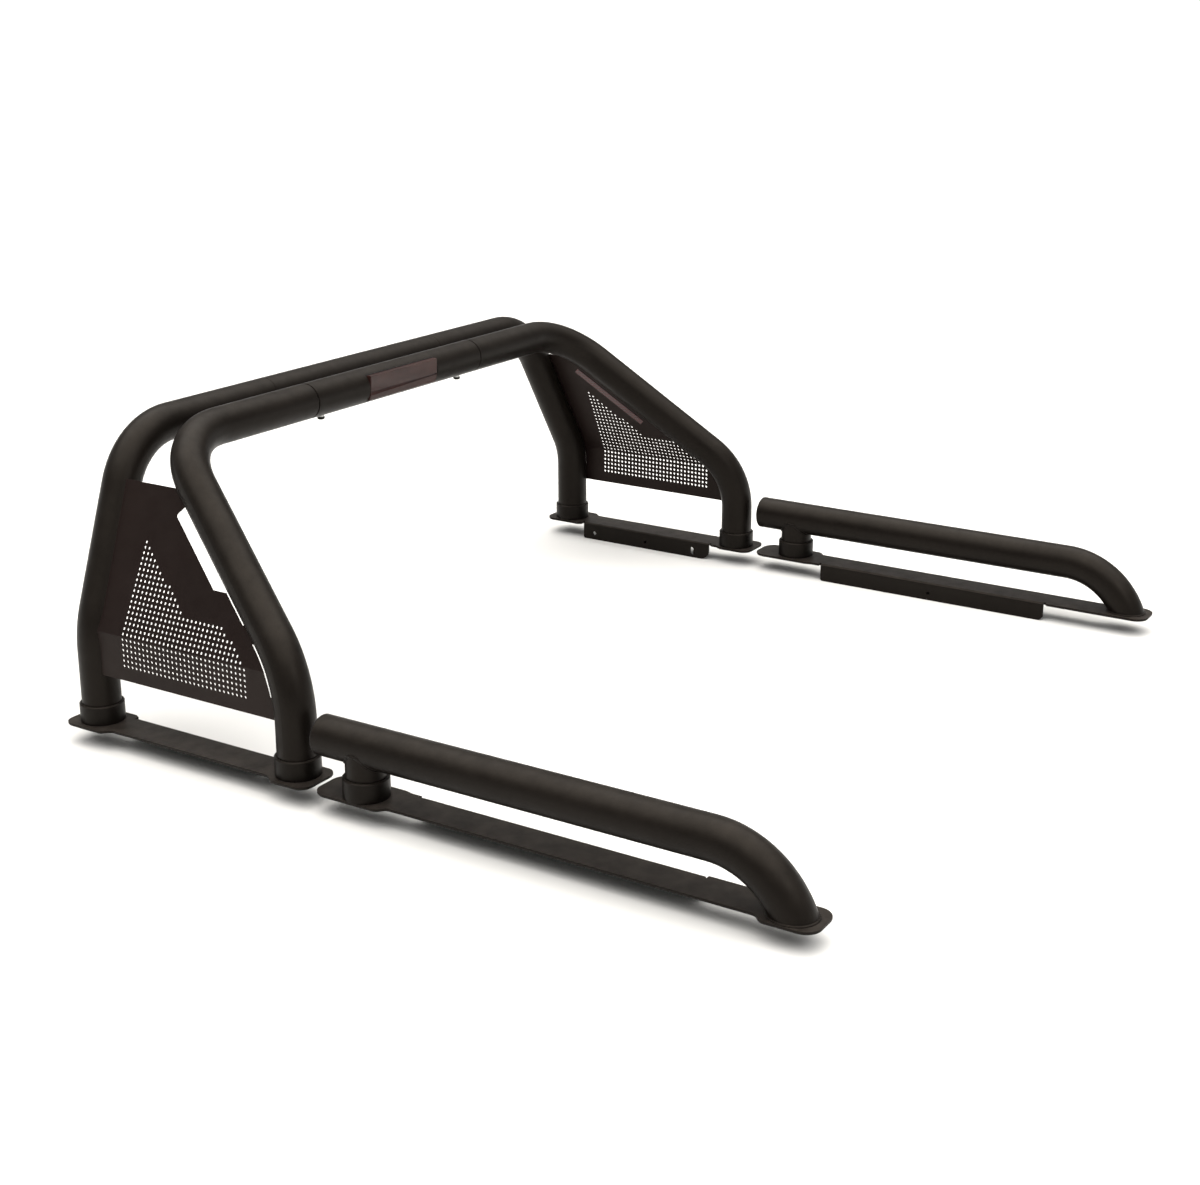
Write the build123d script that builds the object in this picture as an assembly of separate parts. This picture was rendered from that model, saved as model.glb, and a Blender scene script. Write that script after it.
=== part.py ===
from build123d import *
from math import atan2, cos, degrees, hypot, sin, sqrt, tan
import os

# Headache rack for a pickup bed: two hoops joined by telescoping crossbars, with a perforated side
# panel and a low rail on each side. Millimetres. +X is the truck's right, +Y is forward, +Z is up.
# The origin is on the middle line, halfway along the length, level with the flanges' lower edges.

os.makedirs("parts", exist_ok=True)

# Hoops
tube_diameter = 76.2
tube_wall = 2.0
leg_offset = 842.5         # leg axis from the middle line
leg_spacing = 500.0        # front leg to rear leg at the foot
crossbar_height = 544.0    # above the seat plane
crossbar_spacing = 113.0   # front crossbar to rear crossbar
front_rake = 42.0          # front crossbar ahead of the front leg
corner_offset = 675.0      # where slanted leg and crossbar axes meet
knee_height = 194.0        # where upright foot and slanted leg axes meet
knee_radius = 180.0
corner_radius = 165.0

# Base plates, gaskets and clamp flanges
plate_thickness = 4.0
gasket_thickness = 2.0
gasket_inset = 1.5
strip_width = 73.0
pad_outer_step = 16.0
hoop_strip_inset = 36.5    # strip's inner edge to the leg axis
hoop_pad_reach = 56.0      # plate end beyond the leg axis
hoop_front_pad = 100.0
hoop_rear_pad = 80.0
hoop_pad_inner_step = 9.0
hoop_flange_inset = 116.0
hoop_pad_corner = 24.0
flange_depth = 37.0        # below the seat plane
flange_relief = 5.0
fold_radius = 6.0
flange_front_corner = 6.0
hoop_flange_rear_corner = 25.0
rail_flange_rear_corner = 14.0
bolt_hole_diameter = 10.0
bolt_hole_inset = 33.0     # from the flange's front end
bolt_slot_inset = 49.0     # from the flange's rear end
bolt_slot_length = 20.0
bolt_slot_width = 9.0
bolt_drop = 20.0           # below the seat plane
nut_hole_diameter = 8.6
nut_width = 15.0
nut_height = 9.0
nut_bore = 6.8

# Side rails
rail_offset = 851.0
rail_height = 101.0        # above the seat plane
rail_gap = 14.0            # hoop plate to rail plate
rail_length = 997.0
rail_strip_inset = 47.0
rail_bend_radius = 162.0
rail_bend_setback = 203.0  # bend's start from the plate's rear end
rail_front_pad = 145.0
rail_rear_pad = 95.0
rail_front_step = 4.0
rail_front_corner = 30.0
rail_flange_setback = 188.0
rail_flange_length = 572.0
post_diameter = 74.0
post_setback = 96.0
cap_thickness = 3.0
cap_rounding = 2.0
plug_length = 16.0
plug_wall = 2.5

# Collars round the feet
collar_wall = 4.6          # on the hoop tubes; the posts' collars share the outside size
collar_height = 38.0
collar_clearance = 0.3
collar_chamfer = 2.0

# Telescoping joints in the crossbars
seam_offset = 288.0
front_seam_gap = 0.5
rear_seam_gap = 2.6
seam_chamfer = 0.6
spigot_wall = 3.0
spigot_clearance = 0.08
spigot_in_centre = 150.0
spigot_in_hoop = 110.0
clamp_inset = 46.0         # clamp screw from the seam
clamp_shank = 6.0
clamp_head = 16.0
clamp_head_height = 6.0
clamp_boss = 13.0
clamp_boss_height = 3.5
clamp_tip_gap = 0.3
hole_clearance = 0.1

# Side panels
panel_thickness = 2.5
panel_outset = 18.75       # panel's inner face outside the plane of the tube axes
panel_bottom = 110.0       # above the seat plane
panel_weld_lap = 14.0      # trimmed off where the sheet meets a leg
slit_width = 2.0           # rear leg to the sheet beside it
panel_crown = 301.0        # knee to the sheet's top edge, up the slope
panel_corner = 6.0
slot_start = 128.0         # knee to the slot, up the slope
slot_end = 424.0           # knee to the slot's end, along the rear tube
slot_edge = 57.0           # rear tube's axis to the slot's far edge
tab_end = 70.0             # welded tab within the slit, above the knee
tab_start = 44.0
slit_start = -42.0
grille_hole = 5.8
grille_pitch = 10.6
grille_rows_below = 6
grille_front = 92.0        # front leg's axis to the first column
grille_rear = 98.0         # rear leg's axis to the last column
grille_low_margin = 71.0   # rear tube's axis to the lower holes
grille_high_margin = 137.0
grille_shoulder = 63.0     # knee to the level edge, up the slope
grille_top = 200.0         # knee to the highest row, up the slope
strip_mark = 99.0          # rear tube's axis to the reflector strip
strip_start = 268.0        # along the rear tube
strip_length = 216.0
strip_height = 16.0
strip_thickness = 0.8

# Brake lamp in the rear crossbar
lamp_length = 236.0
lamp_height = 55.0
lamp_face = 38.8           # lens face behind the crossbar's axis
lamp_seat = 14.0
lens_wall = 2.5
lens_rounding = 2.0
lens_lip = 18.0
lens_lip_slope = 6.0
lens_groove = 3.0
lens_groove_depth = 1.2
lamp_gasket_rim = 1.5
pocket_clearance = 0.2
housing_depth = 9.0
housing_wall = 3.5
housing_floor = 3.0
board_thickness = 1.6
led_count = 16
led_size = 5.0
led_height = 2.0
led_row_spacing = 22.0
lamp_screw_spacing = 170.0
lamp_screw = 4.0
lamp_screw_head = 8.0
lamp_screw_head_height = 2.6

# Levels and places that follow
tube_radius = tube_diameter / 2
bore_radius = tube_radius - tube_wall
collar_radius = tube_radius + collar_clearance + collar_wall
seat = flange_depth
plate_under = seat + gasket_thickness
plate_top = plate_under + plate_thickness
knee = seat + knee_height
bar = seat + crossbar_height
front_overhang = max(front_rake + tube_radius, hoop_pad_reach)
rear_overhang = hoop_pad_reach + rail_gap + rail_length
overall_length = front_overhang + leg_spacing + rear_overhang
front_leg = overall_length / 2 - front_overhang
rear_leg = front_leg - leg_spacing
front_bar = front_leg + front_rake
rear_bar = front_bar - crossbar_spacing
rail_front = rear_leg - hoop_pad_reach - rail_gap
rail_rear = rail_front - rail_length
rail_axis = seat + rail_height
post_place = rail_front - post_setback
clamp_place = seam_offset - clamp_inset


def ring(outer, inner):
    return Circle(outer) - Circle(inner)


def rod(start, end, radius):
    axis = Vector(*end) - Vector(*start)
    return extrude(Plane(origin=start, z_dir=axis) * Circle(radius), amount=axis.length)


def block(low, high):
    middle = [(a + b) / 2 for a, b in zip(low, high)]
    return Pos(*middle) * Box(*[b - a for a, b in zip(low, high)])


def swept(path, section):
    return sweep(Plane(origin=path @ 0, z_dir=path % 0) * section, path=path)


def rounded(face, places, radius):
    """Rounds the corners of a flat outline that stand at the given places."""
    corners = [
        v for v in face.vertices()
        if any(hypot(v.X - x, v.Y - y) < 0.01 for x, y in places)
    ]
    return fillet(corners, radius)


def write(name, *pieces):
    solids = [s for piece in pieces for s in piece.solids()]
    export_step(Compound(children=solids), f"parts/{name}.step")


def write_pair(name, *pieces):
    write(f"{name}_right", *pieces)
    write(f"{name}_left", *[mirror(piece, about=Plane.YZ) for piece in pieces])


# Hoops: one bent tube for each leg, from the foot to the seam in the crossbar
def hoop_path(leg, crossbar, seam_gap):
    foot = (leg_offset, leg, plate_top)
    bend = (leg_offset, leg, knee)
    corner = (corner_offset, crossbar, bar)
    seam = (seam_offset + seam_gap / 2, crossbar, bar)
    return FilletPolyline(foot, bend, corner, seam, radius=(knee_radius, corner_radius))


def hoop(path):
    tube = swept(path, ring(tube_radius, bore_radius))
    rim = [
        e for e in tube.edges().filter_by(GeomType.CIRCLE)
        if abs(e.center().X - (path @ 1).X) < 0.01 and e.radius > bore_radius + tube_wall / 2
    ]
    return chamfer(rim, seam_chamfer)


front_path = hoop_path(front_leg, front_bar, front_seam_gap)
rear_path = hoop_path(rear_leg, rear_bar, rear_seam_gap)
write_pair("front_hoop", hoop(front_path))
write_pair("rear_hoop", hoop(rear_path))

# Spigots: plug-welded in the hoops and sliding in the centre tubes
spigot_radius = bore_radius - spigot_clearance
for name, crossbar in (("front_spigot", front_bar), ("rear_spigot", rear_bar)):
    start = Plane(origin=(seam_offset - spigot_in_centre, crossbar, bar), z_dir=(1, 0, 0))
    section = ring(spigot_radius, spigot_radius - spigot_wall)
    write_pair(name, extrude(start * section, amount=spigot_in_centre + spigot_in_hoop))


# Centre tubes: the front one is plain, the rear one has a pocket for the brake lamp
def centre_tube(crossbar, seam_gap):
    half_length = seam_offset - seam_gap / 2
    start = Plane(origin=(-half_length, crossbar, bar), z_dir=(1, 0, 0))
    tube = extrude(start * ring(tube_radius, bore_radius), amount=2 * half_length)
    rims = [e for e in tube.edges().filter_by(GeomType.CIRCLE) if e.radius > bore_radius + tube_wall / 2]
    tube = chamfer(rims, seam_chamfer)
    for x in (-clamp_place, clamp_place):
        tube -= rod((x, crossbar, bar - tube_diameter), (x, crossbar, bar), clamp_shank / 2 + hole_clearance)
    return tube


pocket_x = lamp_length / 2 + lamp_gasket_rim + pocket_clearance
pocket_z = lamp_height / 2 + lamp_gasket_rim + pocket_clearance
rear_centre = centre_tube(rear_bar, rear_seam_gap) - block(
    (-pocket_x, rear_bar - tube_diameter, bar - pocket_z),
    (pocket_x, rear_bar - lamp_seat + pocket_clearance, bar + pocket_z),
)
lamp_screw_places = (-lamp_screw_spacing / 2, lamp_screw_spacing / 2)
for x in lamp_screw_places:
    outside = (x, rear_bar + tube_diameter, bar)
    rear_centre -= rod((x, rear_bar, bar), outside, lamp_screw / 2 + hole_clearance)
write("front_centre_tube", centre_tube(front_bar, front_seam_gap))
write("rear_centre_tube", rear_centre)

# Clamp screws under the centre tubes, each in a threaded boss
boss_foot = bar - tube_radius - clamp_boss_height
screws = []
bosses = []
for crossbar in (front_bar, rear_bar):
    for x in (-clamp_place, clamp_place):
        boss = extrude(Pos(x, crossbar, boss_foot) * ring(clamp_boss / 2, clamp_shank / 2), amount=clamp_boss)
        bosses.append(boss - rod((-seam_offset, crossbar, bar), (seam_offset, crossbar, bar), tube_radius))
        tip = bar - spigot_radius - clamp_tip_gap
        shank = rod((x, crossbar, boss_foot), (x, crossbar, tip), clamp_shank / 2)
        head = rod((x, crossbar, boss_foot), (x, crossbar, boss_foot - clamp_head_height), clamp_head / 2)
        head = fillet(head.edges().filter_by(GeomType.CIRCLE).sort_by(Axis.Z)[0], clamp_head_height / 2)
        socket = Pos(x, crossbar, boss_foot - clamp_head_height) * RegularPolygon(clamp_shank / 3, 6)
        screws.append(shank + head - extrude(socket, amount=clamp_head_height / 2))
write("clamp_screws", *screws)
write("clamp_bosses", *bosses)


# Brake lamp: housing, circuit board, diodes, lens and gasket in the rear centre tube's pocket
def lamp_block(length, height, near, far):
    """A block between two distances behind the rear crossbar's axis."""
    return block(
        (-length / 2, rear_bar - far, bar - height / 2),
        (length / 2, rear_bar - near, bar + height / 2),
    )


housing_back = lamp_seat - housing_depth
board_seat = housing_back + housing_floor
housing_length = lamp_length + 2 * lamp_gasket_rim
housing_height = lamp_height + 2 * lamp_gasket_rim
cavity_length = housing_length - 2 * housing_wall
cavity_height = housing_height - 2 * housing_wall
housing = lamp_block(housing_length, housing_height, housing_back, lamp_seat)
housing -= lamp_block(cavity_length, cavity_height, board_seat, lamp_seat)
for x in lamp_screw_places:
    housing -= rod((x, rear_bar - housing_back, bar), (x, rear_bar - board_seat, bar), lamp_screw / 2)
write("lamp_housing", housing)
board_face = board_seat + board_thickness
write("lamp_board", lamp_block(cavity_length - 1, cavity_height - 1, board_seat, board_face))

leds = []
for row in (-1, 1):
    for i in range(led_count):
        x = (lamp_length - 30) * (i / (led_count - 1) - 0.5)
        place = Pos(x, 0, row * led_row_spacing / 2)
        leds.append(place * lamp_block(led_size, led_size, board_face, board_face + led_height))
write("lamp_leds", *leds)

lens_foot = -lamp_height / 2
groove_low = lens_foot + lens_lip
groove_high = groove_low + lens_groove
lens_section = make_face(Polyline(
    (-lamp_seat, -lens_foot),
    (-lamp_face, -lens_foot),
    (-lamp_face, groove_high),
    (-lamp_face + lens_groove_depth, groove_high),
    (-lamp_face + lens_groove_depth, groove_low),
    (-lamp_face, groove_low),
    (-lamp_face + lens_lip_slope, lens_foot),
    (-lamp_seat, lens_foot),
    close=True,
))
lens_section = rounded(lens_section, [(-lamp_face, -lens_foot)], lens_rounding)
lens_start = Plane(origin=(-lamp_length / 2, rear_bar, bar), x_dir=(0, 1, 0), z_dir=(1, 0, 0))
lens = extrude(lens_start * lens_section, amount=lamp_length)
hollow_end = lamp_face - lens_lip_slope - lens_wall
lens -= lamp_block(lamp_length - 2 * lens_wall, lamp_height - 2 * lens_wall, lamp_seat, hollow_end)
write("lamp_lens", lens)
gasket_face = sqrt(tube_radius**2 - (lamp_height / 2) ** 2)
lamp_gasket = lamp_block(housing_length, housing_height, lamp_seat, gasket_face)
write("lamp_gasket", lamp_gasket - lamp_block(lamp_length, lamp_height, lamp_seat, gasket_face))

lamp_screws = []
for x in lamp_screw_places:
    head_seat = rear_bar + tube_radius
    shank = rod((x, rear_bar - board_seat, bar), (x, head_seat, bar), lamp_screw / 2)
    head = rod((x, head_seat, bar), (x, head_seat + lamp_screw_head_height, bar), lamp_screw_head / 2)
    head = fillet(head.edges().filter_by(GeomType.CIRCLE).sort_by(Axis.Y)[-1], lamp_screw_head_height / 2)
    lamp_screws.append(shank + head)
write("lamp_screws", *lamp_screws)


# Base plates: a strip between two wider pads, its inner edge folded down as a clamp flange
def plate_outline(inner, front, rear, pads, steps, corner):
    outer = inner + strip_width
    edge = outer + pad_outer_step
    front_neck = front - pads[0]
    rear_neck = rear + pads[1]
    outline = make_face(Polyline(
        (inner - steps[0], front),
        (edge, front),
        (edge, front_neck),
        (outer, front_neck - pad_outer_step),
        (outer, rear_neck + pad_outer_step),
        (edge, rear_neck),
        (edge, rear),
        (inner - steps[1], rear),
        (inner - steps[1], rear_neck),
        (inner, rear_neck + pad_outer_step),
        (inner, front_neck - pad_outer_step),
        (inner - steps[0], front_neck),
        close=True,
    ))
    blends = [
        (edge, front_neck),
        (outer, front_neck - pad_outer_step),
        (outer, rear_neck + pad_outer_step),
        (edge, rear_neck),
    ]
    ends = [(inner - steps[0], front), (edge, front), (edge, rear), (inner - steps[1], rear)]
    return rounded(rounded(outline, blends, pad_outer_step), ends, corner)


def folded_plate(outline, inner, front, rear, rear_corner):
    """A plate with its clamp flange, folded down between front and rear."""
    relief = block(
        (inner - tube_radius, rear - flange_relief, 0),
        (inner + 2 * plate_thickness, front + flange_relief, bar),
    )
    plate = extrude(Pos(0, 0, plate_under) * outline, amount=plate_thickness) - relief
    profile = make_face(Polyline(
        (inner, 0),
        (inner + plate_thickness, 0),
        (inner + plate_thickness, plate_under),
        (inner + 2 * plate_thickness, plate_under),
        (inner + 2 * plate_thickness, plate_top),
        (inner, plate_top),
        close=True,
    ))
    profile = rounded(profile, [(inner, plate_top)], fold_radius)
    profile = rounded(profile, [(inner + plate_thickness, plate_under)], fold_radius - plate_thickness)
    end = Plane(origin=(0, front, 0), x_dir=(1, 0, 0), z_dir=(0, -1, 0))
    flange = extrude(end * profile, amount=front - rear)
    tips = flange.edges().filter_by(Axis.X).group_by(Axis.Z)[0].sort_by(Axis.Y)
    flange = fillet(tips[-1], flange_front_corner)
    tips = flange.edges().filter_by(Axis.X).group_by(Axis.Z)[0].sort_by(Axis.Y)
    return plate + fillet(tips[0], rear_corner)


def flange_hole(inner, place, diameter):
    near = (inner - plate_thickness, place, seat - bolt_drop)
    far = (inner + 2 * plate_thickness, place, seat - bolt_drop)
    return rod(near, far, diameter / 2)


def flange_slot(inner, place):
    start = Plane(
        origin=(inner - plate_thickness, place, seat - bolt_drop), x_dir=(0, 0, 1), z_dir=(1, 0, 0)
    )
    return extrude(start * SlotOverall(bolt_slot_length, bolt_slot_width), amount=3 * plate_thickness)


def blind_nut(inner, place):
    """A weld nut on the flange's outer side, closed at its far end."""
    face = Plane(origin=(inner + plate_thickness, place, seat - bolt_drop), x_dir=(0, 1, 0), z_dir=(1, 0, 0))
    bore = extrude(face * Circle(nut_bore / 2), amount=0.75 * nut_height)
    return extrude(face * RegularPolygon(nut_width / sqrt(3), 6), amount=nut_height) - bore


def plate_gasket(outline, inner, front, rear):
    """The rubber sheet under a plate, kept clear of the fold."""
    sheet = extrude(Pos(0, 0, seat) * offset(outline, -gasket_inset), amount=gasket_thickness)
    return sheet - block(
        (inner - tube_radius, rear - flange_relief - gasket_inset, 0),
        (inner + 2 * plate_thickness, front + flange_relief + gasket_inset, bar),
    )


hoop_plate_front = front_leg + hoop_pad_reach
hoop_plate_rear = rear_leg - hoop_pad_reach
hoop_inner = leg_offset - hoop_strip_inset
hoop_pads = (hoop_front_pad, hoop_rear_pad)
hoop_steps = (hoop_pad_inner_step, hoop_pad_inner_step)
hoop_outline = plate_outline(
    hoop_inner, hoop_plate_front, hoop_plate_rear, hoop_pads, hoop_steps, hoop_pad_corner
)
hoop_flange = (hoop_plate_front - hoop_flange_inset, hoop_plate_rear + hoop_flange_inset)
hoop_nut = sum(hoop_flange) / 2
rail_inner = rail_offset - rail_strip_inset
rail_pads = (rail_front_pad, rail_rear_pad)
rail_steps = (rail_front_step, 0)
rail_outline = plate_outline(
    rail_inner, rail_front, rail_rear, rail_pads, rail_steps, rail_front_corner
)
rail_flange = (rail_front - rail_flange_setback, rail_front - rail_flange_setback - rail_flange_length)
rail_nut = sum(rail_flange) / 2
hoop_plate = folded_plate(hoop_outline, hoop_inner, *hoop_flange, hoop_flange_rear_corner)
hoop_plate -= flange_hole(hoop_inner, hoop_flange[0] - bolt_hole_inset, bolt_hole_diameter)
hoop_plate -= flange_slot(hoop_inner, hoop_flange[1] + bolt_slot_inset)
write_pair("hoop_plate", hoop_plate - flange_hole(hoop_inner, hoop_nut, nut_hole_diameter))
write_pair("hoop_gasket", plate_gasket(hoop_outline, hoop_inner, *hoop_flange))
rail_plate = folded_plate(rail_outline, rail_inner, *rail_flange, rail_flange_rear_corner)
write_pair("rail_plate", rail_plate - flange_hole(rail_inner, rail_nut, nut_hole_diameter))
write_pair("rail_gasket", plate_gasket(rail_outline, rail_inner, *rail_flange))
write_pair("flange_nuts", blind_nut(hoop_inner, hoop_nut), blind_nut(rail_inner, rail_nut))


# Collars: slipped over each foot and seated on the plate
def collar(x, y, foot_radius):
    start = Pos(x, y, plate_top)
    body = extrude(start * ring(collar_radius, foot_radius + collar_clearance), amount=collar_height)
    outer_rims = body.edges().filter_by(GeomType.CIRCLE).sort_by(Edge.length)[-2:]
    return chamfer(outer_rims.sort_by(Axis.Z)[-1], collar_chamfer)


write_pair("front_collar", collar(leg_offset, front_leg, tube_radius))
write_pair("rear_collar", collar(leg_offset, rear_leg, tube_radius))
write_pair("rail_collar", collar(rail_offset, post_place, post_diameter / 2))

# Side rail: a tube bent down at the rear and cut flat on its plate, on a post near the front
bend_end = rail_rear + rail_bend_setback - rail_bend_radius
rail_path = FilletPolyline(
    (rail_offset, rail_front - cap_thickness, rail_axis),
    (rail_offset, bend_end, rail_axis),
    (rail_offset, bend_end, rail_axis - rail_bend_radius - tube_radius),
    radius=rail_bend_radius,
)
above_plate = Plane.XY.offset(plate_top)
side_rail = split(swept(rail_path, ring(tube_radius, bore_radius)), bisect_by=above_plate, keep=Keep.TOP)
write_pair("side_rail", side_rail)

post_foot = Pos(rail_offset, post_place, plate_top)
post_section = ring(post_diameter / 2, post_diameter / 2 - tube_wall)
post = extrude(post_foot * post_section, amount=rail_axis - plate_top)
post -= rod((rail_offset, rail_front, rail_axis), (rail_offset, bend_end, rail_axis), tube_radius)
write_pair("rail_post", post)

cap_seat = (rail_offset, rail_front - cap_thickness, rail_axis)
cap = rod(cap_seat, (rail_offset, rail_front, rail_axis), tube_radius)
cap = fillet(cap.edges().filter_by(GeomType.CIRCLE).sort_by(Axis.Y)[-1], cap_rounding)
plug_start = Plane(origin=cap_seat, z_dir=(0, -1, 0))
plug_radius = bore_radius - hole_clearance
cap += extrude(plug_start * ring(plug_radius, plug_radius - plug_wall), amount=plug_length)
write_pair("rail_cap", cap)

# Side panel: sheet folded along the knees and perforated, standing between the two legs. Flat places
# are given as the distance ahead of the rear leg and the height, measured up the slope past the fold.
lean = atan2(leg_offset - corner_offset, crossbar_height - knee_height)
slope_length = hypot(leg_offset - corner_offset, crossbar_height - knee_height)
rear_slant = atan2(rear_bar - rear_leg, slope_length)
front_slant = atan2(front_rake, slope_length)
fold = knee_height + panel_outset * tan(lean / 2)
slope_foot = fold + panel_outset * tan(lean / 2)
weld_margin = sqrt(tube_radius**2 - panel_outset**2) - panel_weld_lap
inner_face = leg_offset + panel_outset
upright = Plane(origin=(inner_face, rear_leg, seat + fold), x_dir=(0, 1, 0), z_dir=(1, 0, 0))
slope = Plane(origin=upright.origin, x_dir=(0, 1, 0), z_dir=(cos(lean), 0, sin(lean)))


def along_rear_tube(distance, margin):
    """The flat place a distance along the rear tube from its knee and a margin ahead of its axis."""
    return (
        distance * sin(rear_slant) + margin * cos(rear_slant),
        slope_foot + distance * cos(rear_slant) - margin * sin(rear_slant),
    )


def rear_margin(y, height):
    return y * cos(rear_slant) - (height - slope_foot) * sin(rear_slant)


def rear_line(margin, height):
    """The flat place at a given height on the line a margin ahead of the rear tube's axis."""
    y = margin / cos(rear_slant) + (height - slope_foot) * tan(rear_slant)
    return (y, height)


def up_slope(climb, margin):
    """The flat place a climb above the knee and a margin ahead of the rear tube's axis."""
    return rear_line(margin, knee_height + climb)


knee_drop = weld_margin * (1 / cos(rear_slant) - 1) / tan(rear_slant)
front_edge = leg_spacing - weld_margin
sheet = make_face(Polyline(
    (weld_margin, panel_bottom),
    (front_edge, panel_bottom),
    (front_edge, knee_height),
    (front_edge + panel_crown * tan(front_slant), knee_height + panel_crown),
    up_slope(panel_crown, weld_margin),
    along_rear_tube(slot_end, weld_margin),
    along_rear_tube(slot_end, slot_edge),
    up_slope(slot_start, slot_edge),
    up_slope(slot_start, weld_margin),
    (weld_margin, slope_foot - knee_drop),
    close=True,
))
sheet = rounded(sheet, [up_slope(slot_start, slot_edge), along_rear_tube(slot_end, slot_edge)], panel_corner)

holes = []
row_count = grille_rows_below + int(grille_top / grille_pitch)
column_count = int((leg_spacing - grille_front - grille_rear) / grille_pitch) + 1
for row in range(row_count):
    height = fold + (row - grille_rows_below + 0.5) * grille_pitch
    climb = height - knee_height
    margin = grille_low_margin if climb < grille_shoulder else grille_high_margin
    for column in range(column_count):
        y = leg_spacing - grille_front - column * grille_pitch
        if rear_margin(y, height) >= margin and climb < grille_top:
            holes.append((y, height))


def panel_band(low, high):
    """The flat sheet between two heights with its holes, drawn from the fold."""
    band = sheet & Pos(leg_spacing / 2, (low + high) / 2) * Rectangle(2 * leg_spacing, high - low)
    rims = [Pos(y, z - fold) * Wire.make_circle(grille_hole / 2) for y, z in holes if low < z < high]
    outline = (Pos(0, -fold) * band.faces()[0]).outer_wire()
    return Face(outline, rims)


lower_sheet = panel_band(panel_bottom, fold)
upper_sheet = panel_band(fold, knee_height + panel_crown)
fold_line = lower_sheet.outer_wire().edges().filter_by(Axis.X).sort_by(Axis.Y)[-1].bounding_box()
outer_bend = CenterArc((0, 0), panel_thickness, 0, degrees(lean))
wedge = make_face([Line((0, 0), outer_bend @ 0), outer_bend, Line(outer_bend @ 1, (0, 0))])
wedge_start = Plane(
    origin=(inner_face, rear_leg + fold_line.max.X, seat + fold), x_dir=(1, 0, 0), z_dir=(0, -1, 0)
)
side_panel = extrude(upright * lower_sheet, amount=panel_thickness)
side_panel += extrude(wedge_start * wedge, amount=fold_line.size.X)
side_panel += extrude(slope * upper_sheet, amount=panel_thickness)
side_panel -= swept(front_path, Circle(tube_radius)) + swept(rear_path, Circle(tube_radius))
slit = swept(rear_path, Circle(tube_radius + slit_width))
for low, high in ((slit_start, tab_start), (tab_end, slot_start)):
    level = block((0, rear_leg, knee + low), (leg_offset + tube_diameter, front_leg, knee + high))
    side_panel -= slit & level
write_pair("side_panel", side_panel)

# Reflector strip on the panel's inner face
strip_y, strip_z = along_rear_tube(strip_start + strip_length / 2, strip_mark)
strip_place = Pos(strip_y, strip_z - fold) * Rot(0, 0, 90 - degrees(rear_slant))
strip = extrude(slope * strip_place * Rectangle(strip_length, strip_height), amount=-strip_thickness)
write_pair("reflector_strip", strip)
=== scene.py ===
from math import radians

import bmesh
import bpy
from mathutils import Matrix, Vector


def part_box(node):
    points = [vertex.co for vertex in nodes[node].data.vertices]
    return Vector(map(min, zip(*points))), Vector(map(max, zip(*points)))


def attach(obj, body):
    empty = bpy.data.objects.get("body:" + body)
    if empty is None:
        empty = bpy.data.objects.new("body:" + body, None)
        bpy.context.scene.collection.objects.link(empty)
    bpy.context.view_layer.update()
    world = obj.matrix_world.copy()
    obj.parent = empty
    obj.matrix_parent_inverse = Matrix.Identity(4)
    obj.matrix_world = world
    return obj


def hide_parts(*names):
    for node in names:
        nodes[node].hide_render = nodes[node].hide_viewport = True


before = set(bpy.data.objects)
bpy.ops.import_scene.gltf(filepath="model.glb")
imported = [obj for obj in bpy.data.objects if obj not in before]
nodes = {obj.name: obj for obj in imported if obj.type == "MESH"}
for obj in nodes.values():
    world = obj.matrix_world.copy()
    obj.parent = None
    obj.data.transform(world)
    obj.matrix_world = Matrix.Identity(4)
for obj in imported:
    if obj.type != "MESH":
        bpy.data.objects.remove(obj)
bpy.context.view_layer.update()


# Hoops and crossbars: 3 inch welded steel tube, bent cold, blasted, sprayed with a warm black satin
# powder and baked. The coat has a fine orange peel. Up-facing surfaces are lighter, partly settled
# dust and partly painted light from the overhead softbox, and sharp edges are lighter, partly coat
# rubbed thin and partly a painted highlight.
def new_material(name):
    """A node material, its node tree and its Principled shader."""
    material = bpy.data.materials.new(name)
    material.use_nodes = True
    return material, material.node_tree, material.node_tree.nodes["Principled BSDF"]


def object_noise(tree, scale, detail=3.0, roughness=0.5, stretch=(1, 1, 1)):
    """Noise in the piece's own space, in features per metre."""
    place = tree.nodes.new("ShaderNodeTexCoord")
    mapping = tree.nodes.new("ShaderNodeMapping")
    mapping.inputs["Scale"].default_value = stretch
    noise = tree.nodes.new("ShaderNodeTexNoise")
    noise.inputs["Scale"].default_value = scale
    noise.inputs["Detail"].default_value = detail
    noise.inputs["Roughness"].default_value = roughness
    tree.links.new(place.outputs["Object"], mapping.inputs["Vector"])
    tree.links.new(mapping.outputs["Vector"], noise.inputs["Vector"])
    return noise.outputs["Fac"]


def tone(tree, factor, dark, light, low=0.35, high=0.65):
    """A colour that runs from dark to light as the factor rises from low to high."""
    ramp = tree.nodes.new("ShaderNodeValToRGB")
    ramp.color_ramp.elements[0].position = low
    ramp.color_ramp.elements[0].color = (*dark, 1)
    ramp.color_ramp.elements[1].position = high
    ramp.color_ramp.elements[1].color = (*light, 1)
    tree.links.new(factor, ramp.inputs["Fac"])
    return ramp.outputs["Color"]


def remap(tree, factor, low, high, start=0.3, end=0.7):
    """The factor's start to end range, clamped and stretched over low to high."""
    span = tree.nodes.new("ShaderNodeMapRange")
    span.inputs["From Min"].default_value = start
    span.inputs["From Max"].default_value = end
    span.inputs["To Min"].default_value = low
    span.inputs["To Max"].default_value = high
    tree.links.new(factor, span.inputs["Value"])
    return span.outputs["Result"]


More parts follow.
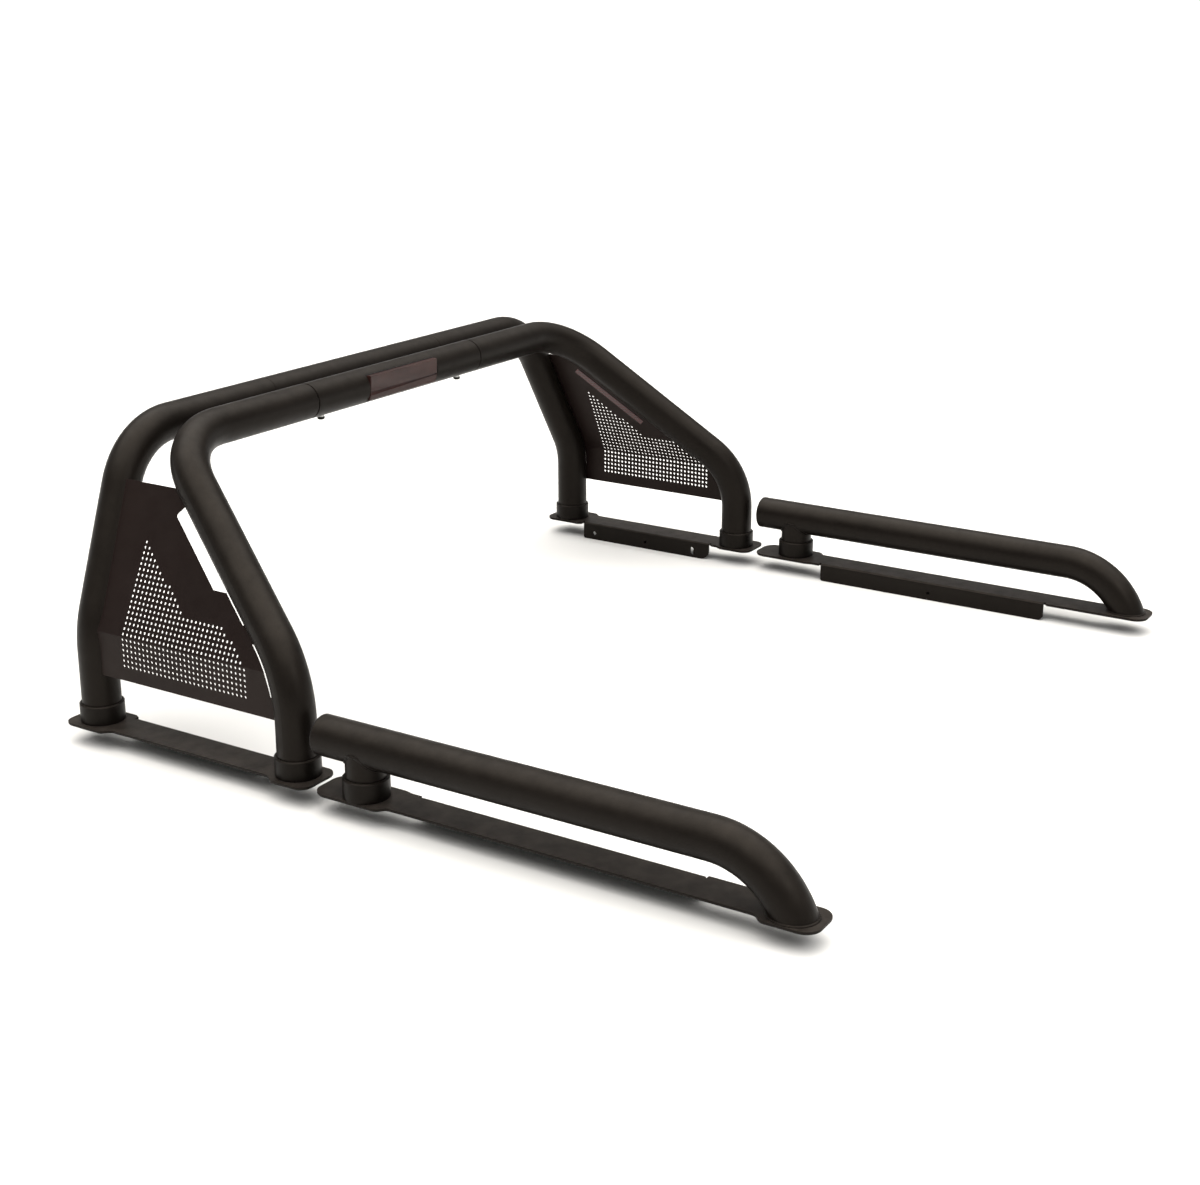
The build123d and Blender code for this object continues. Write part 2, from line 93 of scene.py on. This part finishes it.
def mix_colours(tree, factor, first, second):
    """The first colour socket where the factor is 0 and the second where it is 1."""
    mix = tree.nodes.new("ShaderNodeMix")
    mix.data_type = "RGBA"
    tree.links.new(factor, mix.inputs["Factor"])
    for value, socket in ((first, mix.inputs["A"]), (second, mix.inputs["B"])):
        if isinstance(value, tuple):
            socket.default_value = (*value, 1)
        else:
            tree.links.new(value, socket)
    return mix.outputs["Result"]


def bump(tree, height, strength, distance, under=None):
    node = tree.nodes.new("ShaderNodeBump")
    node.inputs["Strength"].default_value = strength
    node.inputs["Distance"].default_value = distance
    tree.links.new(height, node.inputs["Height"])
    if under is not None:
        tree.links.new(under, node.inputs["Normal"])
    return node.outputs["Normal"]


def edge_wear_and_highlight(tree, reach):
    """1 along sharp edges and 0 on open faces, with the rounded normal that it is found from."""
    soft = tree.nodes.new("ShaderNodeBevel")
    soft.samples = 4
    soft.inputs["Radius"].default_value = reach
    true = tree.nodes.new("ShaderNodeNewGeometry")
    dot = tree.nodes.new("ShaderNodeVectorMath")
    dot.operation = "DOT_PRODUCT"
    tree.links.new(soft.outputs["Normal"], dot.inputs[0])
    tree.links.new(true.outputs["Normal"], dot.inputs[1])
    return remap(tree, dot.outputs["Value"], 1.0, 0.0, 0.86, 0.995), soft.outputs["Normal"]


def facing_up(tree):
    """1 where the surface looks straight up, 0 where it is upright or looks down."""
    geometry = tree.nodes.new("ShaderNodeNewGeometry")
    parts = tree.nodes.new("ShaderNodeSeparateXYZ")
    tree.links.new(geometry.outputs["Normal"], parts.inputs["Vector"])
    return remap(tree, parts.outputs["Z"], 0.0, 1.0, 0.25, 1.0)


def powder_coat(name, dark, light, dust_and_top_light, rounding):
    """Warm black satin powder coat with orange peel, tops lighter as dust and painted light, edges
    lighter as wear and painted highlight.
    """
    material, tree, shader = new_material(name)
    base = tone(tree, object_noise(tree, 5.0, detail=5.0), dark, light)
    speck = remap(tree, object_noise(tree, 420.0, detail=4.0, roughness=0.7), 0.0, 1.0, 0.64, 0.78)
    base = mix_colours(tree, speck, base, tuple(2.2 * value for value in light))
    # Up-facing patches are painted lighter: partly settled dust, partly painted light where the
    # tops face the overhead softbox.
    dust_and_top_light_mask = tree.nodes.new("ShaderNodeMath")
    dust_and_top_light_mask.operation = "MULTIPLY"
    tree.links.new(facing_up(tree), dust_and_top_light_mask.inputs[0])
    patches = object_noise(tree, 26.0, detail=6.0, roughness=0.65)
    tree.links.new(remap(tree, patches, 0.25, 1.0), dust_and_top_light_mask.inputs[1])
    base = mix_colours(tree, dust_and_top_light_mask.outputs["Value"], base, dust_and_top_light)
    # Sharp edges are painted lighter: partly coat rubbed thin, partly a painted highlight.
    rubbed_and_highlit_edge, rounded_normal = edge_wear_and_highlight(tree, rounding)
    base = mix_colours(tree, rubbed_and_highlit_edge, base, tuple(2.6 * value for value in light))
    tree.links.new(base, shader.inputs["Base Color"])
    gloss = remap(tree, object_noise(tree, 34.0, detail=4.0), 0.36, 0.46)
    tree.links.new(gloss, shader.inputs["Roughness"])
    peel = bump(tree, object_noise(tree, 620.0, detail=2.0), 0.30, 0.0004, rounded_normal)
    grain = bump(tree, object_noise(tree, 2600.0, detail=1.0), 0.18, 0.0001, peel)
    tree.links.new(grain, shader.inputs["Normal"])
    shader.inputs["IOR"].default_value = 1.21
    shader.inputs["Specular Tint"].default_value = (1.0, 0.90, 0.80, 1)
    return material


def colour_and_gloss(tree, shader, pattern, dark, light, roughness):
    """One pattern runs the colour from dark to light and the roughness from low to high."""
    tree.links.new(tone(tree, pattern, dark, light), shader.inputs["Base Color"])
    tree.links.new(remap(tree, pattern, *roughness), shader.inputs["Roughness"])


SIDES = ("left", "right")


def paint(node_name, material):
    """Gives a CAD node its finish."""
    node = nodes[node_name]
    node.data.materials.clear()
    node.data.materials.append(material)


tube_coat = powder_coat(
    "tube_coat",
    dark=(0.0040, 0.0030, 0.0024),
    light=(0.0056, 0.0043, 0.0035),
    dust_and_top_light=(0.0190, 0.0158, 0.0130),
    rounding=0.0008,
)
for side in SIDES:
    paint(f"front_hoop_{side}", tube_coat)
    paint(f"rear_hoop_{side}", tube_coat)
paint("front_centre_tube", tube_coat)
paint("rear_centre_tube", tube_coat)


# Spigots: drawn tube, plug-welded into the hoops and oiled where it slides in the centre tubes.
# Its colour is kept far darker than oiled steel as painted shade for the seam gaps, so it shows
# only as a dark ring in the seams until the rack is drawn wider.
spigot_steel, tree, shader = new_material("spigot_steel")
drawn = object_noise(tree, 90.0, detail=4.0, stretch=(0.06, 6.0, 6.0))
colour_and_gloss(tree, shader, drawn, (0.018, 0.017, 0.016), (0.052, 0.050, 0.047), (0.22, 0.42))
tree.links.new(bump(tree, drawn, 0.35, 0.00008), shader.inputs["Normal"])
shader.inputs["Metallic"].default_value = 1.0
for side in SIDES:
    paint(f"front_spigot_{side}", spigot_steel)
    paint(f"rear_spigot_{side}", spigot_steel)


# Collars, plates, panels and rails: the same powder over thicker steel. The plates and panels are
# cut and folded sheet, so they are flatter in tone and show more edge.
plate_coat = powder_coat(
    "plate_coat",
    dark=(0.0038, 0.0029, 0.0024),
    light=(0.0052, 0.0041, 0.0034),
    # The plates' up-facing colour is the lightest: dust plus painted light on their broad tops.
    dust_and_top_light=(0.0340, 0.0285, 0.0245),
    rounding=0.0009,
)
collar_coat = powder_coat(
    "collar_coat",
    dark=(0.0030, 0.0023, 0.0019),
    light=(0.0042, 0.0033, 0.0028),
    dust_and_top_light=(0.0160, 0.0130, 0.0105),
    rounding=0.0012,
)
panel_coat = powder_coat(
    "panel_coat",
    dark=(0.0075, 0.0044, 0.0040),
    light=(0.0100, 0.0060, 0.0054),
    dust_and_top_light=(0.0150, 0.0108, 0.0098),
    rounding=0.0005,
)
for side in SIDES:
    for name in ("front_collar", "rear_collar", "rail_collar"):
        paint(f"{name}_{side}", collar_coat)
    for name in ("hoop_plate", "rail_plate"):
        paint(f"{name}_{side}", plate_coat)
    for name in ("side_rail", "rail_post"):
        paint(f"{name}_{side}", tube_coat)
    paint(f"side_panel_{side}", panel_coat)


# Weld beads: where the rail's tail meets its plate and where the post meets the rail, run by hand
# before coating, so they carry the same powder over a rippled bead. The tail's is cut flat at the
# plate and the post's rises and falls with the rail's underside.
bead_coat = powder_coat(
    "bead_coat",
    dark=(0.0030, 0.0023, 0.0019),
    light=(0.0044, 0.0034, 0.0029),
    dust_and_top_light=(0.0160, 0.0130, 0.0105),
    rounding=0.0008,
)
tree = bead_coat.node_tree
shader = tree.nodes["Principled BSDF"]
ripple = object_noise(tree, 210.0, detail=1.0, roughness=0.3)
ripples = bump(tree, ripple, 0.9, 0.0016, shader.inputs["Normal"].links[0].from_socket)
tree.links.new(ripples, shader.inputs["Normal"])


def place_in_mesh(size, centre):
    """Scales and moves everything in the mesh being edited, leaving the object at the origin."""
    bpy.ops.mesh.select_all(action="SELECT")
    bpy.ops.transform.resize(value=size, center_override=(0, 0, 0))
    bpy.ops.transform.translate(value=centre)


def finish_piece(name, material, body, smooth=40):
    """Leaves edit mode and gives the new piece its name, finish and body."""
    bpy.ops.mesh.select_all(action="SELECT")
    bpy.ops.mesh.normals_make_consistent(inside=False)
    bpy.ops.object.mode_set(mode="OBJECT")
    piece = bpy.context.object
    piece.name = name
    piece.data.materials.append(material)
    bpy.ops.object.shade_smooth_by_angle(angle=radians(smooth))
    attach(piece, body)
    return piece


bead_radius = 0.0028
tail_length = 0.0843
for side in SIDES:
    rail_low, rail_high = (Vector(corner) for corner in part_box(f"side_rail_{side}"))
    plate_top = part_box(f"rail_plate_{side}")[1][2]
    rail_radius = (rail_high.x - rail_low.x) / 2
    bpy.ops.object.select_all(action="DESELECT")
    bpy.ops.mesh.primitive_torus_add(
        major_segments=120, minor_segments=12, major_radius=rail_radius, minor_radius=bead_radius
    )
    bpy.ops.object.mode_set(mode="EDIT")
    place_in_mesh(
        (1, tail_length / (2 * rail_radius), 1),
        ((rail_low.x + rail_high.x) / 2, rail_low.y + tail_length / 2, plate_top),
    )
    bpy.ops.mesh.select_all(action="SELECT")
    bpy.ops.mesh.bisect(
        plane_co=(0, 0, plate_top), plane_no=(0, 0, -1), use_fill=True, clear_outer=True
    )
    tail_bead = finish_piece(f"tail_weld_{side}", bead_coat, f"{side}_side", smooth=60)

    post_low, post_high = (Vector(corner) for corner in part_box(f"rail_post_{side}"))
    post_radius = (post_high.x - post_low.x) / 2
    rail_axis = rail_high.z - rail_radius
    bpy.ops.object.select_all(action="DESELECT")
    bpy.ops.mesh.primitive_torus_add(
        major_segments=120, minor_segments=12, major_radius=post_radius, minor_radius=bead_radius
    )
    bpy.ops.object.mode_set(mode="EDIT")
    mesh = bmesh.from_edit_mesh(bpy.context.edit_object.data)
    for vertex in mesh.verts:
        across = min(abs(vertex.co.x), post_radius)
        vertex.co.z += rail_axis - (rail_radius**2 - across**2) ** 0.5
    bmesh.update_edit_mesh(bpy.context.edit_object.data)
    middle = (post_low + post_high) / 2
    place_in_mesh((1, 1, 1), (middle.x, middle.y, 0))
    post_bead = finish_piece(f"post_weld_{side}", bead_coat, f"{side}_side", smooth=60)


# Gaskets: black rubber sheet die-cut to lie under the plates and round the lamp, so that the
# paint of the bed isn't rubbed. It is matte and faintly mottled with talc.
rubber, tree, shader = new_material("gasket_rubber")
talc = object_noise(tree, 60.0, detail=5.0)
colour_and_gloss(tree, shader, talc, (0.006, 0.006, 0.006), (0.014, 0.0135, 0.013), (0.72, 0.9))
tree.links.new(bump(tree, object_noise(tree, 1500.0), 0.4, 0.0001), shader.inputs["Normal"])
for side in SIDES:
    paint(f"hoop_gasket_{side}", rubber)
    paint(f"rail_gasket_{side}", rubber)
paint("lamp_gasket", rubber)


# Rail caps and the lamp's housing: injection-moulded black nylon with a fine spark-eroded grain.
# The caps are pressed into the rails' front ends.
nylon, tree, shader = new_material("moulded_nylon")
mottle = object_noise(tree, 30.0, detail=4.0)
colour_and_gloss(
    tree, shader, mottle, (0.0055, 0.0045, 0.0039), (0.0085, 0.0071, 0.0062), (0.44, 0.56)
)
shader.inputs["IOR"].default_value = 1.25
sparks = object_noise(tree, 1900.0, detail=2.0)
tree.links.new(bump(tree, sparks, 0.45, 0.00015), shader.inputs["Normal"])
for side in SIDES:
    paint(f"rail_cap_{side}", nylon)
paint("lamp_housing", nylon)


# Fasteners: black oxide cap screws in bright zinc bosses under the crossbars, weld nuts behind the
# flanges and black oxide pan heads on the front of the lamp's tube. The weld nuts' dark finish is
# painted shade for the flange holes they show through.
black_oxide, tree, shader = new_material("black_oxide")
oxide = object_noise(tree, 700.0, detail=4.0)
colour_and_gloss(tree, shader, oxide, (0.008, 0.0078, 0.0075), (0.030, 0.028, 0.026), (0.28, 0.45))
shader.inputs["Metallic"].default_value = 0.85
zinc, tree, shader = new_material("zinc_plate")
spangle = object_noise(tree, 500.0, detail=5.0)
colour_and_gloss(tree, shader, spangle, (0.33, 0.33, 0.32), (0.56, 0.56, 0.54), (0.25, 0.45))
shader.inputs["Metallic"].default_value = 1.0
paint("clamp_screws", black_oxide)
paint("lamp_screws", black_oxide)
paint("clamp_bosses", zinc)
for side in SIDES:
    # The dark finish on the weld nuts is painted shade for the flange holes.
    paint(f"flange_nuts_{side}", black_oxide)


# Brake lamp: rows of diodes soldered on a green board in the nylon housing, under a lens moulded in
# smoked red acrylic, with a sloping lip and a groove along its lower edge.
board_green, tree, shader = new_material("board_laminate")
weave = object_noise(tree, 900.0, detail=2.0)
colour_and_gloss(tree, shader, weave, (0.008, 0.035, 0.014), (0.014, 0.055, 0.022), (0.3, 0.5))
paint("lamp_board", board_green)
diode, tree, shader = new_material("diode_resin")
cast = object_noise(tree, 300.0)
colour_and_gloss(tree, shader, cast, (0.50, 0.46, 0.36), (0.72, 0.69, 0.58), (0.15, 0.3))
paint("lamp_leds", diode)
smoked_lens, tree, shader = new_material("smoked_lens")
smoke = object_noise(tree, 18.0, detail=4.0, stretch=(1, 1, 2.5))
smoky_red = tone(tree, smoke, (0.021, 0.0078, 0.0066), (0.031, 0.0120, 0.0100))
tree.links.new(smoky_red, shader.inputs["Base Color"])
tree.links.new(remap(tree, object_noise(tree, 60.0), 0.30, 0.38), shader.inputs["Roughness"])
flutes = tree.nodes.new("ShaderNodeTexWave")
flutes.inputs["Scale"].default_value = 38.0
place = tree.nodes.new("ShaderNodeTexCoord")
tree.links.new(place.outputs["Object"], flutes.inputs["Vector"])
tree.links.new(bump(tree, flutes.outputs["Fac"], 0.06, 0.0003), shader.inputs["Normal"])
shader.inputs["IOR"].default_value = 1.34


def choose(kind, keep):
    """Selects the verts, edges or faces of the mesh being edited that pass the test."""
    kinds = ("verts", "edges", "faces")
    bpy.context.tool_settings.mesh_select_mode = tuple(kind == name for name in kinds)
    bpy.ops.mesh.select_all(action="DESELECT")
    mesh = bmesh.from_edit_mesh(bpy.context.edit_object.data)
    for part in getattr(mesh, kind):
        part.select_set(keep(part))
    mesh.select_flush_mode()
    bmesh.update_edit_mesh(bpy.context.edit_object.data)


lens_low, lens_high = (Vector(corner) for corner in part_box("lamp_lens"))
lens_size = lens_high - lens_low
lens_centre = (lens_low + lens_high) / 2
groove_low = lens_low.z + 0.018
groove_high = groove_low + 0.003
groove_depth = 0.0045
groove_draft = 0.0003
lip_slope = 0.006
edge_rounding = 0.0022
near = 1e-5
bpy.ops.object.select_all(action="DESELECT")
bpy.ops.mesh.primitive_cube_add(size=1)
bpy.ops.object.mode_set(mode="EDIT")
place_in_mesh(lens_size, lens_centre)
for level in (groove_low, groove_high):
    bpy.ops.mesh.select_all(action="SELECT")
    bpy.ops.mesh.bisect(plane_co=(0, 0, level), plane_no=(0, 0, 1))


def on_lip(vert):
    return vert.co.y < lens_low.y + near and vert.co.z < lens_low.z + near


def in_groove(face):
    return face.normal.y < -0.9 and groove_low < face.calc_center_median().z < groove_high


def on_outer_rim(edge):
    """Edges round the lens's face and down its ends, but not the square ones at its back."""
    middle = (edge.verts[0].co + edge.verts[1].co) / 2
    at_end = abs(abs(middle.x) - lens_size.x / 2) < near
    at_level = middle.z > lens_high.z - near or middle.z < lens_low.z + near
    at_back = any(abs(vertex.co.y - lens_high.y) <= near for vertex in edge.verts)
    return (at_end or at_level) and not at_back and edge.calc_face_angle(0) > 0.9


choose("verts", on_lip)
bpy.ops.transform.translate(value=(0, lip_slope, 0))
choose("faces", in_groove)
bpy.ops.mesh.inset(thickness=groove_draft, depth=-groove_depth)
choose("edges", on_outer_rim)
bpy.ops.mesh.bevel(offset=edge_rounding, segments=4, affect="EDGES")
lens = finish_piece("smoked_lens_moulding", smoked_lens, "centre")
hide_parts("lamp_lens")


# Reflector strips: prismatic red sheet in small square cells, stuck on the inner faces of the side
# panels and smoked to match the lens.
prismatic, tree, shader = new_material("red_reflector")
cells = tree.nodes.new("ShaderNodeTexVoronoi")
cells.inputs["Scale"].default_value = 320.0
cells.inputs["Randomness"].default_value = 0.0
place = tree.nodes.new("ShaderNodeTexCoord")
tree.links.new(place.outputs["Object"], cells.inputs["Vector"])
red = tone(tree, cells.outputs["Distance"], (0.055, 0.010, 0.011), (0.034, 0.010, 0.010))
tree.links.new(red, shader.inputs["Base Color"])
tree.links.new(bump(tree, cells.outputs["Distance"], 0.5, 0.0004), shader.inputs["Normal"])
shader.inputs["Roughness"].default_value = 0.25
for side in SIDES:
    paint(f"reflector_strip_{side}", prismatic)


# Studio: a plain pale floor under a broad overhead softbox, with a darker band round the sides and
# one soft lamp behind, seen from behind and to the left of the rack.
bpy.ops.object.select_all(action="DESELECT")
bpy.ops.mesh.primitive_plane_add(size=60)
floor = bpy.context.object
floor.name = "floor"
floor_paint, tree, shader = new_material("floor_paint")
shader.inputs["Base Color"].default_value = (0.76, 0.76, 0.75, 1)
shader.inputs["Roughness"].default_value = 0.95
floor.data.materials.append(floor_paint)

world = bpy.data.worlds.new("studio")
bpy.context.scene.world = world
world.use_nodes = True
sky = world.node_tree
direction = sky.nodes.new("ShaderNodeTexCoord")
height = sky.nodes.new("ShaderNodeSeparateXYZ")
softbox = sky.nodes.new("ShaderNodeValToRGB")
softbox.color_ramp.elements[0].position = 0.10
softbox.color_ramp.elements[0].color = (1.0, 1.0, 1.0, 1)
softbox.color_ramp.elements[1].position = 1.0
softbox.color_ramp.elements[1].color = (3.9, 3.75, 3.55, 1)
for position, level in ((0.22, 0.14), (0.55, 0.22), (0.78, 3.2)):
    stop = softbox.color_ramp.elements.new(position)
    stop.color = (level, 0.98 * level, 0.95 * level, 1)
sky.links.new(direction.outputs["Generated"], height.inputs["Vector"])
sky.links.new(height.outputs["Z"], softbox.inputs["Fac"])
sky.links.new(softbox.outputs["Color"], sky.nodes["Background"].inputs["Color"])
sky.nodes["Background"].inputs["Strength"].default_value = 1.05

lamp_place = Vector((-1.5, -4.5, 3.2))
lamp_aim = Vector((0, 0, 0.3))
bpy.ops.object.light_add(type="AREA", location=lamp_place)
lamp = bpy.context.object
lamp.name = "behind_left"
lamp.data.size = 2.0
lamp.data.energy = 45
lamp.rotation_euler = (lamp_aim - lamp_place).to_track_quat("-Z", "Y").to_euler()

bpy.ops.object.camera_add(
    location=(-3.21221, -1.90486, 1.44120),
    rotation=(radians(73.3396), radians(-0.1116), radians(-58.4865)),
)
camera = bpy.context.object
camera.data.sensor_width = 36
camera.data.lens = 56.04
camera.data.shift_x = -0.02064
camera.data.shift_y = -0.04907
camera.data.clip_end = 200
bpy.context.scene.camera = camera
bpy.context.scene.view_settings.view_transform = "Standard"
